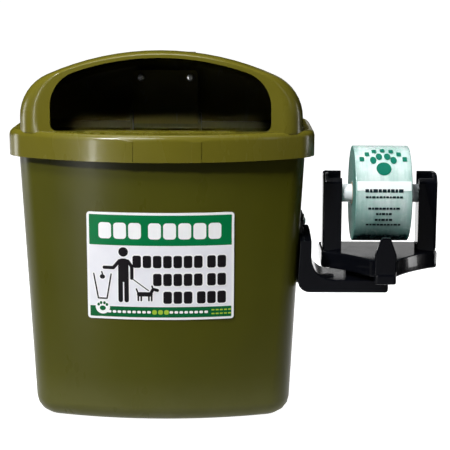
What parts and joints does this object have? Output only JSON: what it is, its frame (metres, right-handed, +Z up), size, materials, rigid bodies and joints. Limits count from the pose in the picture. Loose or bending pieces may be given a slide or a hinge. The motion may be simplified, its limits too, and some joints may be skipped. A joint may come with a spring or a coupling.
{
  "type": "dog waste bin",
  "caption": "Tapered plastic waste bin with a lift-off hooded lid, a printed label and an arm at the side that holds a roll of dog waste bags.",
  "frame": {"origin": "centre of the tub's flat underside", "axes": "+Z up, the mouth of the hood faces -Y, the dispenser is on the +X side"},
  "size_m": [0.5491, 0.2542, 0.471],
  "materials": {
    "olive_plastic": "olive green moulded polyethylene, soft gloss",
    "printed_label": "printed adhesive vinyl",
    "zinc_steel": "bright zinc plate",
    "black_plastic": "glossy black injection moulding",
    "white_plastic": "white plastic tube",
    "cardboard": "plain card core",
    "bag_film": "thin translucent mint green film"
  },
  "bodies": {
    "tub": {"tub": "olive_plastic", "front_label": "printed_label", "side_plate": "black_plastic", "holder_arm": "black_plastic", "cradle_base": "black_plastic", "left_upright": "black_plastic", "right_upright": "black_plastic", "tear_finger": "black_plastic", "plate_front_screw": "zinc_steel", "plate_front_washer": "zinc_steel", "plate_front_nut": "zinc_steel", "plate_rear_screw": "zinc_steel", "plate_rear_washer": "zinc_steel", "plate_rear_nut": "zinc_steel", "arm_front_screw": "zinc_steel", "arm_front_washer": "zinc_steel", "arm_front_nut": "zinc_steel", "arm_rear_screw": "zinc_steel", "arm_rear_washer": "zinc_steel", "arm_rear_nut": "zinc_steel", "cradle_screw_left": "zinc_steel", "cradle_screw_right": "zinc_steel", "left_upright_screw": "zinc_steel", "right_upright_screw": "zinc_steel", "finger_screw": "zinc_steel"},
    "lid": {"lid": "olive_plastic", "wall_bracket": "zinc_steel", "bracket_left_screw": "zinc_steel", "bracket_left_washer": "zinc_steel", "bracket_left_nut": "zinc_steel", "bracket_right_screw": "zinc_steel", "bracket_right_washer": "zinc_steel", "bracket_right_nut": "zinc_steel"},
    "spindle": {"spindle_tube": "white_plastic"},
    "roll": {"roll_core": "cardboard", "bag_roll": "bag_film", "loose_bag_end": "bag_film"}
  },
  "joints": [
    {"name": "lid_lift", "type": "slide", "parent": "tub", "child": "lid", "axis": [0, 0, 1], "range_m": [0, 0.12]},
    {"name": "spindle_lift", "type": "slide", "parent": "tub", "child": "spindle", "axis": [0, 0, 1], "range_m": [0, 0.05]},
    {"name": "roll_spin", "type": "hinge", "parent": "spindle", "child": "roll", "pos_m": [0.28071, 0, 0.284], "axis": [1, 0, 0], "continuous": true}
  ]
}
